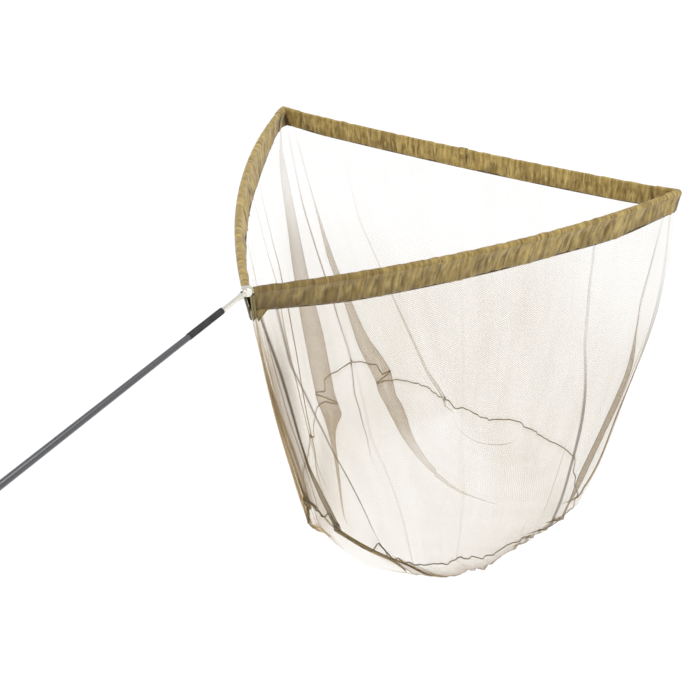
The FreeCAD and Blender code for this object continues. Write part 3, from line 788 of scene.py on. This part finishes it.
# ---------------------------------------------------------------- pleats
# Each pleat: how dark its cloth is, how far it pulls the base seam into a zigzag (in depth), then
# stops of (depth, ring place, half width in millimetres). Depth is 0 at the rim, 1 at the base seam
# and 2 at the keel.
PLEATS = {
    "left": [
        (1.5, 0.0, [(0.0, 0.01, 3), (0.5, 0.02, 9), (1.0, 0.02, 12), (1.3, 0.03, 5), (1.7, 0.05, 0)]),
        (1.2, 0.0, [(0.0, 0.05, 2), (0.5, 0.06, 6), (1.0, 0.075, 8), (1.3, 0.09, 0)]),
        (1.2, 0.0, [(0.0, 0.13, 2), (0.4, 0.15, 4), (0.8, 0.17, 6), (1.1, 0.20, 3), (1.4, 0.22, 0)]),
        (0.9, 0.0, [(0.0, 0.34, 1), (0.2, 0.46, 2), (0.6, 0.55, 3), (1.0, 0.60, 3), (1.3, 0.58, 0),
            (1.5, 0.52, 0)]),
        (1.3, 0.0, [(0.0, 0.56, 1), (0.2, 0.67, 2), (0.4, 0.78, 3), (0.8, 0.80, 3), (1.1, 0.79, 2),
            (1.4, 0.64, 0), (1.5, 0.58, 0)]),
        (2.6, 0.0, [(0.0, 0.66, 1), (0.2, 0.78, 2), (0.4, 0.86, 2), (0.6, 0.89, 3), (0.75, 0.88, 3),
            (0.95, 0.82, 3), (1.4, 0.74, 0), (1.5, 0.63, 0), (2.0, 0.68, 0)]),
        (1.0, 0.045, [(0.0, 0.985, 2), (0.1, 0.99, 12), (0.3, 1.005, 22), (0.6, 1.02, 35), (0.75, 1.03, 47),
            (0.95, 1.035, 52), (1.2, 1.03, 46), (1.32, 1.0, 42), (1.39, 0.92, 30), (1.46, 0.77, 14),
            (1.52, 0.68, 0), (2.0, 0.80, 0)]),
        (1.5, 0.01, [(0.0, 1.01, 1), (0.3, 1.045, 6), (0.65, 1.10, 6), (1.0, 1.135, 4), (1.25, 1.135, 4),
            (1.5, 1.08, 3), (1.75, 0.95, 0)]),
        (1.0, -0.03, [(0.0, 1.03, 1), (0.3, 1.08, 8), (0.5, 1.11, 20), (0.65, 1.145, 22), (0.85, 1.185, 30),
            (1.0, 1.24, 36), (1.2, 1.265, 46), (1.4, 1.255, 42), (1.7, 1.21, 33), (2.0, 1.16, 24)]),
        (1.4, 0.01, [(0.0, 1.16, 0), (0.3, 1.20, 2), (0.6, 1.29, 3), (0.9, 1.395, 3), (1.0, 1.46, 3),
            (1.4, 1.475, 2), (2.0, 1.475, 2)]),
    ],
    "right": [
        (2.6, 0.0, [(0.0, 0.01, 2), (0.3, 0.025, 4), (0.6, 0.035, 5), (0.75, 0.045, 9), (0.88, 0.07, 15),
            (1.05, 0.125, 19), (1.25, 0.21, 19), (1.3, 0.31, 14), (1.4, 0.40, 8), (1.6, 0.50, 0),
            (2.0, 0.36, 0)]),
        (2.2, 0.01, [(0.0, 0.045, 2), (0.24, 0.05, 3), (0.45, 0.085, 3), (0.6, 0.12, 3), (0.92, 0.235, 7),
            (1.0, 0.28, 10), (1.15, 0.37, 9), (1.3, 0.47, 6), (1.45, 0.59, 0), (2.0, 0.46, 0)]),
        (0.6, 0.0, [(0.0, 0.16, 1), (0.5, 0.22, 2), (0.9, 0.36, 3), (1.2, 0.48, 2), (1.4, 0.64, 0),
            (2.0, 0.58, 0)]),
        (0.6, 0.0, [(0.0, 0.42, 1), (0.5, 0.45, 1), (1.0, 0.56, 2), (1.3, 0.66, 0), (1.45, 0.70, 0),
            (2.0, 0.66, 0)]),
        (2.6, 0.01, [(0.0, 0.755, 2), (0.3, 0.77, 2), (0.6, 0.83, 3), (0.9, 0.89, 3), (1.2, 0.91, 2),
            (1.4, 0.89, 0)]),
        (1.8, 0.03, [(0.0, 0.96, 2), (0.25, 0.915, 4), (0.36, 0.92, 10), (0.5, 0.935, 24), (0.65, 0.93, 34),
            (0.8, 0.91, 30), (0.9, 0.915, 22), (1.0, 0.93, 12), (1.15, 0.94, 0)]),
        (2.2, 0.01, [(0.0, 0.985, 2), (0.2, 0.975, 3), (0.5, 0.975, 3), (1.0, 0.99, 4), (1.2, 0.997, 0)]),
        (1.0, 0.0, [(0.0, 1.0, 0), (1.6, 1.01, 0), (1.75, 1.045, 7), (1.85, 1.08, 15), (2.0, 1.16, 22)]),
        (1.4, 0.0, [(0.0, 1.22, 0), (1.15, 1.26, 0), (1.3, 1.28, 3), (1.55, 1.325, 3), (2.0, 1.475, 2)]),
    ],
}
# How far the base seam hangs below (or above) the smooth surface's own seam: (ring place, depth).
SEAM_COURSE = {
    "left": [(0.0, 0.0), (0.1, 0.03), (0.2, -0.02), (0.5, -0.14), (0.64, -0.11), (0.8, -0.06), (0.95, 0.12),
        (1.03, 0.125), (1.045, -0.03), (1.13, -0.10), (1.22, -0.12), (1.245, -0.06), (1.39, -0.06),
        (1.5, -0.015)],
    "right": [(0.0, 0.0), (0.04, 0.05), (0.095, -0.06), (0.15, 0.06), (0.195, 0.12), (0.26, -0.05),
        (0.355, 0.038), (0.5, -0.01), (0.6, 0.0), (0.8, 0.06), (0.91, 0.12), (1.03, 0.08), (1.06, -0.05),
        (1.28, -0.05), (1.38, -0.01), (1.5, -0.015)],
}
# Where the base was creased when the net was packed: (ring place, depth).
KEEL_FOLD = {
    "left": [(0.0, 0.9), (0.14, 0.98), (0.27, 1.19), (0.42, 1.66), (0.48, 2.2)],
    "right": [(0.50, 2.2), (0.53, 1.6), (0.57, 1.38), (0.74, 1.23), (0.93, 1.11)],
}
FOLD_END = {"left": 0.48, "right": 0.97}
PLEAT_COLUMNS = 17
PLEAT_FOOT = 0.0048


class Pleat:
    """A fold lying flat against the bag, with its course and width worked out for each row."""

    def __init__(self, density, zigzag, stops, depths):
        at, ring, half = (np.array(v, float) for v in zip(*stops))
        self.density = density
        self.zigzag = zigzag
        self.centre = self.eased(depths, at, ring)
        self.half = self.eased(depths, at, half) / 1000
        self.half[depths > at[-1]] = 0.0

    @staticmethod
    def eased(depths, at, values):
        line = np.interp(depths, at, values)
        kernel = np.hanning(11)
        padded = np.pad(line, 5, mode="edge")
        return np.convolve(padded, kernel / kernel.sum(), mode="valid")

    def columns(self, before, after, seam_row):
        """Columns across the fold, between cloth with these amounts of room."""
        deep = 0.0012 + np.minimum(self.half * 0.22, 0.0048)
        for t in np.linspace(-1, 1, PLEAT_COLUMNS):
            wave = np.sin(math.pi * t)
            edge = 1 + 0.9 * np.exp(-((abs(t) - 0.5) / 0.11) ** 2)
            flat = self.centre + PLEAT_FOOT * t
            yield (
                flat - self.half / RING_METRES * wave,
                -deep * wave * smooth(self.half / 0.002),
                self.density * (1 - abs(t) ** 6) * edge * smooth(self.half / 0.003),
                mix(before, after, (t + 1) / 2),
                -self.zigzag * wave,
                flat[seam_row],
            )


def bag_columns(pleats, rows, seam_row):
    """Columns of cloth round half of the bag, from the block to the middle of the front.

    Each has its ring place, lift, bunching and room to wave in every row, and at the base seam how
    far it is pulled up and the ring place it would have without the fold.
    """
    starts = [np.zeros(rows)] + [pleat.centre + PLEAT_FOOT for pleat in pleats]
    ends = [pleat.centre - PLEAT_FOOT for pleat in pleats] + [np.full(rows, RING_END)]
    # Cloth that its pleats crowd together is drawn tight, so it waves less than cloth with room.
    rooms = [np.clip((end - start) / np.mean(end - start), 0, 1) ** 1.5 for start, end in zip(starts, ends)]
    plain = np.zeros(rows)
    columns = []
    for k, (start, end) in enumerate(zip(starts, ends)):
        gap = int(np.ceil(np.max(end - start) * RING_METRES / COLUMN_STEP))
        for i in range(0 if k == 0 else 1, gap + 1 if k == len(pleats) else gap):
            ring = mix(start, end, i / gap)
            columns.append((ring, plain, plain, rooms[k], 0.0, ring[seam_row]))
        if k < len(pleats):
            columns += pleats[k].columns(rooms[k], rooms[k + 1], seam_row)
    return [np.array(values).T for values in zip(*columns)]


def bag_look(side, ring, depth, bunch_and_shade):
    """How bunched and how opaque the net looks at each place, beyond its own pleats, with painted shade over the
    base below the seam.
    """
    bunch_and_shade = bunch_and_shade + 0.55 * np.exp(-((depth - 1) / 0.012) ** 2)
    bunch_and_shade += (0.4 if side == "left" else 2.2) * smooth((0.060 - ring) / 0.03) * smooth(depth / 0.3)
    if side == "left":
        bunch_and_shade += 0.45 * smooth((0.62 - ring) / 0.2) * smooth(depth / 0.3) * smooth((1.25 - depth) / 0.3)
    # Painted shade over the base below the seam, carried as extra bunching.
    bunch_and_shade += 1.8 * hump(ring, depth, (0.5, 1.25), (0.45, 0.16))[..., 0]
    fold = np.interp(ring, *np.array(KEEL_FOLD[side]).T)
    bunch_and_shade += 3.2 * np.exp(-((depth - fold) / 0.035) ** 2) * smooth((FOLD_END[side] - ring) / 0.04)
    sheer = mix(0.35, 1.0, smooth((depth - 0.18) / 0.40))
    if side == "right":
        sheer = np.maximum(sheer, smooth((0.9 - ring) / 0.3))
    return {"bunch_and_shade": bunch_and_shade, "sheer": sheer * mix(1.0, 0.5, smooth((depth - 1.35) / 0.45))}


def bag_half(side, seed):
    """Half of the bag, split down the middle of the front and of the base, with its seam line."""
    depths = np.concatenate([np.linspace(0, 1, int(BAG_DEPTH / ROW_STEP)), np.linspace(1, 2, 42)[1:]])
    seam_row = int(np.argmin(np.abs(depths - 1)))
    pleats = [Pleat(*values, depths) for values in PLEATS[side]]
    ring, lift, bunch_and_shade, room, pull, flat = bag_columns(pleats, len(depths), seam_row)
    depth = np.broadcast_to(depths[:, None], ring.shape)
    cloth_x = ring.mean(axis=0)[None, :] * RING_METRES
    free = smooth(ring / 0.02) * smooth((RING_END - ring) / 0.03)
    corrugation = room * (
        0.0032 * waves(cloth_x + 0.05 * depth, seed, (0.035, 0.09))
        + 0.0014 * waves(cloth_x - 0.03 * depth, seed + 1, (0.012, 0.028))
        + 0.0060 * waves(cloth_x + 0.12 * depth, seed + 2, (0.16, 0.4))
    )
    if side == "left":
        corrugation = corrugation * (1 - 0.65 * smooth((ring - 0.3) / 0.2) * smooth((0.99 - ring) / 0.03))
    hang = smooth(depth / 0.12) * smooth((2 - depth) / 0.6)
    course = np.interp(flat, *np.array(SEAM_COURSE[side]).T) + pull
    seam_wave = 0.0045 * waves(cloth_x, seed + 3, (0.10, 0.26))
    seam_wave += 0.0012 * waves(cloth_x, seed + 4, (0.03, 0.06))
    shift = (seam_wave / BAG_DEPTH + course) * np.exp(-((depth - 1) / 0.22) ** 2) * free
    pinned = np.where((depths == 0) | (depths == 2), 0.0, 1.0)[:, None]
    points, normals = on_surface(ring, depth + shift * pinned, side)
    points = points - normals * ((corrugation * hang + lift) * free)[..., None]
    length = np.cumsum(np.linalg.norm(np.diff(points, axis=0, prepend=points[:1]), axis=-1), axis=0)
    uv = np.stack([np.broadcast_to(cloth_x, ring.shape), length], axis=-1)
    made = cloth(f"{side}_net_half", side, points, NET, bag_look(side, ring, depth, bunch_and_shade), uv)
    clean(made)
    belongs(made, [f"{side}_mesh_wall", "front_mesh_wall", "mesh_base"])
    return points[seam_row], normals[seam_row], points[0]


def tape_along(name, path, height, thickness, side, material, nodes):
    """Flat oval tape or round cord along a left-hand path, standing upright."""
    steps = np.linalg.norm(np.diff(path, axis=0), axis=1)
    path = path[np.concatenate([[True], steps > 2e-4])]
    along = unit(np.gradient(path, axis=0))
    side_way = unit(np.cross(along, UP))
    up = unit(np.cross(side_way, along))
    count = 8
    angles = np.linspace(0, 2 * math.pi, count, endpoint=False)
    points = (
        path[:, None]
        + up[:, None] * (height / 2 * np.sin(angles))[None, :, None]
        + side_way[:, None] * (thickness / 2 * np.cos(angles))[None, :, None]
    )
    faces = grid_faces(len(path), count, closed=True)
    faces.append(tuple(range(count))[::-1])
    faces.append(tuple((len(path) - 1) * count + k for k in range(count)))
    travel = np.concatenate([[0], np.cumsum(np.linalg.norm(np.diff(path, axis=0), axis=1))])
    uv = np.stack(np.meshgrid(np.linspace(0, 2 * (height + thickness), count), travel)[::-1], axis=-1)
    made = mesh_object(name, mirror(points, side), faces, material, None, uv)
    belongs(made, nodes)


def base_seam(side, points, normals):
    """Dark overlocked tape where the walls meet the base."""
    nodes = {"left": ["left_base_binding", "front_base_binding"], "right": ["right_base_binding"]}[side]
    path = points + normals * 0.0004
    tape_along(f"{side}_base_seam_tape", path, 0.0042, 0.0020, side, TAPE, nodes)


def rim_tape(side, rim):
    """Dark line of overlocking along the sleeves' lower edge, over the top of the net."""
    tape_along(f"{side}_rim_tape", rim + UP * 0.0012, 0.0046, 0.0042, side, TAPE, [])


def front_cord_half(side):
    """Half of the cord inside the front sleeve."""
    path, _, _ = front_at(np.linspace(0.0, TIP[1] - CORD_END, 60))
    cord = SLOT_MATERIALS["cord"]
    size = CORD_THICKNESS
    tape_along(f"{side}_front_cord", path, size, size, side, cord, ["front_cord"])


# ---------------------------------------------------------------- corners, tabs and the middle joint
def corner_line(stations):
    """Points and outward sides from the arm, round its tip, to the front cord."""
    tip, along_arm, out_arm = arm_at(ARC_LENGTH)
    first = tip - along_arm * POCKET_TURN
    last = tip - MOUTH_ACROSS * POCKET_TURN
    points, outs = [], []
    for s in stations - POCKET_REACH:
        if s < -POCKET_TURN:
            place, _, out = arm_at(ARC_LENGTH + s)
        elif s > POCKET_TURN:
            place, _, out = front_at(tip[1] - s)
        else:
            share = (s + POCKET_TURN) / (2 * POCKET_TURN)
            place = first * (1 - share) ** 2 + 2 * tip * share * (1 - share) + last * share ** 2
            out = unit(mix(out_arm, np.array([1.0, 0.0, 0.0]), smooth(share)))
        points.append(place)
        outs.append(out)
    return np.array(points), np.array(outs)


def corner_pocket(side, seed):
    """Folded fabric corner that holds the arm's tip and the end of the cord."""
    stations = np.linspace(0, 2 * POCKET_REACH, 64)
    points, outs = corner_line(stations)
    share = stations / stations[-1]
    arm_drop, arm_lean = arm_hang(ARC_LENGTH - POCKET_REACH + stations)
    up = unit(mix(MOUTH_UP, UP, share[:, None]))
    outs = unit(outs - up * np.sum(outs * up, axis=1, keepdims=True))
    down, across = hang_frame(outs, up, arm_lean * (1 - smooth((share - 0.3) / 0.4)))
    ends = mix(SLEEVE_RADIUS, FRONT_RADIUS, smooth((share - 0.35) / 0.3)) + 0.0006
    radii = mix(ends, POCKET_RADIUS, np.exp(-((share - 0.52) / 0.20) ** 2))
    front_drop = front_hang(TIP[1] + POCKET_REACH - stations)
    drop = mix(arm_drop, front_drop, smooth((share - 0.40) / 0.2)) + 0.001
    pinch = np.exp(-((share - 0.5) / 0.10) ** 2)

    def row_uv(v):
        return np.stack([stations, np.full_like(stations, v)], axis=-1)

    def layer(height, face):
        depth = height * drop
        fold = 0.0022 * waves(stations, seed, (0.02, 0.05)) * smooth(height / 0.3)
        tuck = 0.011 * pinch * smooth(height / 0.35) if face < 0 else 0.0
        half = sleeve_width(depth, radii)
        full = pinch * (radii - half) * 0.7 * (1 - height)
        offset = face * (half + full + POCKET_SPARE) + fold - tuck
        # Painted shade in the pinch of the fold and a darker line at the hem; on the inner face, a painted shadow
        # inside the pocket, lighter along a diagonal fold.
        dark = 0.9 * pinch * smooth(height / 0.3) + 0.8 * np.clip((height - 0.93) / 0.07, 0, 1)
        if face < 0:
            inner_shadow = smooth((share - 0.45) / 0.04) * smooth((0.62 + 0.17 * height - share) / 0.04)
            light = np.exp(-((share - 0.60 - 0.13 * height) / 0.012) ** 2)
            dark = dark + inner_shadow * smooth((height - 0.05) / 0.1) * (0.95 - 0.45 * light)
        place = points + down * depth[:, None] + across * offset[:, None]
        return place, row_uv(face * height * SLEEVE_DROP), np.clip(dark, 0, 1)

    def crown(angle):
        reach = (radii + POCKET_SPARE)[:, None]
        place = points + across * reach * math.cos(angle) - down * reach * math.sin(angle)
        # Painted shade over the top of the pinch.
        return place, row_uv(SLEEVE_RADIUS * (math.pi / 2 - angle)), 0.25 * pinch

    heights = np.linspace(0, 1, 18)
    made = wrapped(f"{side}_corner_cloth", side, heights, layer, crown, ("crease_shade_and_dark_edges",), 0.0009)
    belongs(made, [f"{side}_corner_pocket"], f"{side}_arm")


def hem_tab(side):
    """Strip of webbing folded lengthwise, hanging at the block end of the sleeve."""
    uu, vv = np.meshgrid(np.linspace(0, 1, 25), np.linspace(0, 1, 24))
    slide = TAB_SLANT * vv + TAB_WIDTH * uu * (1 - 0.35 * vv)
    place, _, out = arm_at(SLEEVE_START - 0.009 + slide)
    down, across = hang_frame(out, MOUTH_UP, np.array(SLEEVE_LEAN))
    depth = 0.004 + (TAB_LENGTH - 0.012 * uu) * vv
    fold = 0.0030 * np.sin(math.pi * uu) ** 0.5 + 0.0012 * np.sin(3 * math.pi * uu) ** 2
    offset = sleeve_width(depth, SLEEVE_RADIUS) + 0.0018 + fold + 0.002 * vv
    points = place + down * depth[..., None] + across * offset[..., None]
    edges = np.exp(-(uu / 0.10) ** 2) + np.exp(-((1 - uu) / 0.10) ** 2)
    edges = edges + 0.8 * np.exp(-((uu - 0.45) / 0.07) ** 2)
    crease_shade_and_dark_edges = np.clip(edges + np.clip((vv - 0.94) / 0.06, 0, 1), 0, 1)
    uv = np.stack([uu * TAB_WIDTH, vv * TAB_LENGTH], axis=-1)
    made = cloth(f"{side}_webbing_tab", side, points, WEBBING, {"crease_shade_and_dark_edges": crease_shade_and_dark_edges}, uv)
    thicken(made, 0.0012, offset=0.0)
    belongs(made, [f"{side}_hem_tab"], "net_head")


def hem_gusset(side):
    """Small triangle of cloth that closes the bag's mouth under the block end of the sleeve."""
    steps = np.linspace(0, 1, 12)
    uu, vv = np.meshgrid(steps, steps)
    station = SLEEVE_START + 0.002 + 0.012 * vv + GUSSET_WIDTH * uu * (1 - vv)
    place, _, out = arm_at(station)
    drop, lean = arm_hang(station)
    down, across = hang_frame(out, MOUTH_UP, lean)
    depth = drop - 0.003 + GUSSET_LENGTH * vv
    offset = SLEEVE_HEM + 0.0020 + 0.0012 * np.sin(2.5 * math.pi * uu) * (1 - vv)
    points = place + down * depth[..., None] + across * offset[..., None]
    # Painted shade over the whole triangle, deeper along its edges.
    edge = np.exp(-(uu * (1 - vv) / 0.12) ** 2) + np.exp(-((1 - uu) * (1 - vv) / 0.12) ** 2)
    attributes = {"crease_shade_and_dark_edges": 0.5 * np.clip(edge, 0, 1), "painted_shade": np.full(uu.shape, 0.45)}
    uv = np.stack([station, depth], axis=-1)
    made = cloth(f"{side}_hem_gusset", side, points, FABRIC, attributes, uv)
    clean(made)
    thicken(made, 0.0008, offset=0.0)
    belongs(made, [], "net_head")


def joint_binding():
    """Sewn band round the front sleeve where its two halves meet."""
    stations = np.linspace(-0.011, 0.011, 13)
    place, _, out = front_at(stations)
    radius = FRONT_RADIUS + BAND_SPARE
    ripple = 0.0007 * np.cos(stations / 0.011 * math.pi * 2)
    heights = np.linspace(0, 1, 16) * (FRONT_DROP + 0.001)

    def layer(depth, face):
        wide = sleeve_width(depth, radius) + BAND_SPARE + ripple
        return place - UP * depth + out * (face * wide)[:, None]

    rings = [layer(depth, 1) for depth in heights[::-1]]
    for k in range(1, TOP_ARC_STEPS):
        angle = math.pi * k / TOP_ARC_STEPS
        rings.append(place + (out * math.cos(angle) + UP * math.sin(angle)) * (radius + BAND_SPARE))
    rings += [layer(depth, -1) for depth in heights]
    points = np.stack(rings, axis=1)
    edge = 0.7 * np.exp(-((np.abs(stations) - 0.0095) / 0.0016) ** 2)
    crease_shade_and_dark_edges = np.broadcast_to(edge[:, None], points.shape[:2])
    uv = np.stack(np.meshgrid(np.linspace(0, 0.12, len(rings)), stations), axis=-1)
    made = cloth("front_joint_band", "left", points, FABRIC, {"crease_shade_and_dark_edges": crease_shade_and_dark_edges}, uv, closed=True)
    thicken(made, 0.0008, offset=1.0)
    belongs(made, ["front_joint_binding"], "net_head")


# ---------------------------------------------------------------- floor, light and camera
FLOOR_Z = -3.2
FLOOR_REACH = 60.0
HORIZON_LIGHT = 1.0
ZENITH_LIGHT = 0.46
ZENITH_FROM = 0.45
KEY_LIGHT = 2.05
KEY_DIRECTION = (0.30, -0.28, 1.0)
FILL_LIGHT = 0.8
FILL_DIRECTION = (-1.0, 0.1, 0.12)
SUN_SOFTNESS = math.radians(30.0)
LENS = 56.57
CAMERA_PLACE = (0.1058, -1.2900, 1.2505)
CAMERA_DEGREES = (55.8084, 1.4148, -59.1009)


def camera():
    data = bpy.data.cameras.new("camera")
    data.lens = LENS
    data.sensor_width = 36.0
    data.clip_end = FLOOR_REACH
    made = bpy.data.objects.new("camera", data)
    made.location = CAMERA_PLACE
    made.rotation_euler = [math.radians(degrees) for degrees in CAMERA_DEGREES]
    bpy.context.scene.collection.objects.link(made)
    bpy.context.scene.camera = made


def sun_light(name, towards, power):
    """Even soft light; towards points from the object to the light."""
    data = bpy.data.lights.new(name, "SUN")
    data.energy = power
    data.angle = SUN_SOFTNESS
    made = bpy.data.objects.new(name, data)
    made.rotation_euler = (-Vector(towards)).to_track_quat("-Z", "Y").to_euler()
    bpy.context.scene.collection.objects.link(made)


def studio():
    scene = bpy.context.scene
    scene.view_settings.view_transform = "Standard"
    scene.cycles.transparent_max_bounces = 32
    scene.world = bpy.data.worlds.new("studio")
    scene.world.use_nodes = True
    nodes = scene.world.node_tree.nodes
    links = scene.world.node_tree.links
    background = nodes["Background"]
    background.inputs["Color"].default_value = (1.0, 1.0, 1.0, 1.0)
    direction = nodes.new("ShaderNodeTexCoord")
    height = nodes.new("ShaderNodeSeparateXYZ")
    fall = nodes.new("ShaderNodeMapRange")
    fall.interpolation_type = "SMOOTHSTEP"
    fall.inputs["From Max"].default_value = ZENITH_FROM
    fall.inputs["To Min"].default_value = HORIZON_LIGHT
    fall.inputs["To Max"].default_value = ZENITH_LIGHT
    links.new(direction.outputs["Generated"], height.inputs[0])
    links.new(height.outputs["Z"], fall.inputs["Value"])
    links.new(fall.outputs[0], background.inputs["Strength"])
    sun_light("key", KEY_DIRECTION, KEY_LIGHT)
    sun_light("fill", FILL_DIRECTION, FILL_LIGHT)
    floor = Shader("pale_floor", Roughness=0.9)
    floor.set(Base_Color=floor.blend(floor.noise(3.0), rgb(250, 250, 250), rgb(246, 246, 246)))
    corners = [(x * FLOOR_REACH, y * FLOOR_REACH, FLOOR_Z) for x, y in ((-1, -1), (1, -1), (1, 1), (-1, 1))]
    mesh_object("floor", np.array(corners), [(0, 1, 2, 3)], floor.material)


dress_cad_nodes()
for half, seeds in (("left", 11), ("right", 47)):
    arm_sleeve(half, seeds)
    front_sleeve(half, seeds + 101)
    front_cord_half(half)
    corner_pocket(half, seeds + 201)
    hem_tab(half)
    hem_gusset(half)
    seam_points, seam_normals, rim_points = bag_half(half, seeds + 301)
    base_seam(half, seam_points, seam_normals)
    rim_tape(half, rim_points)
joint_binding()
studio()
camera()
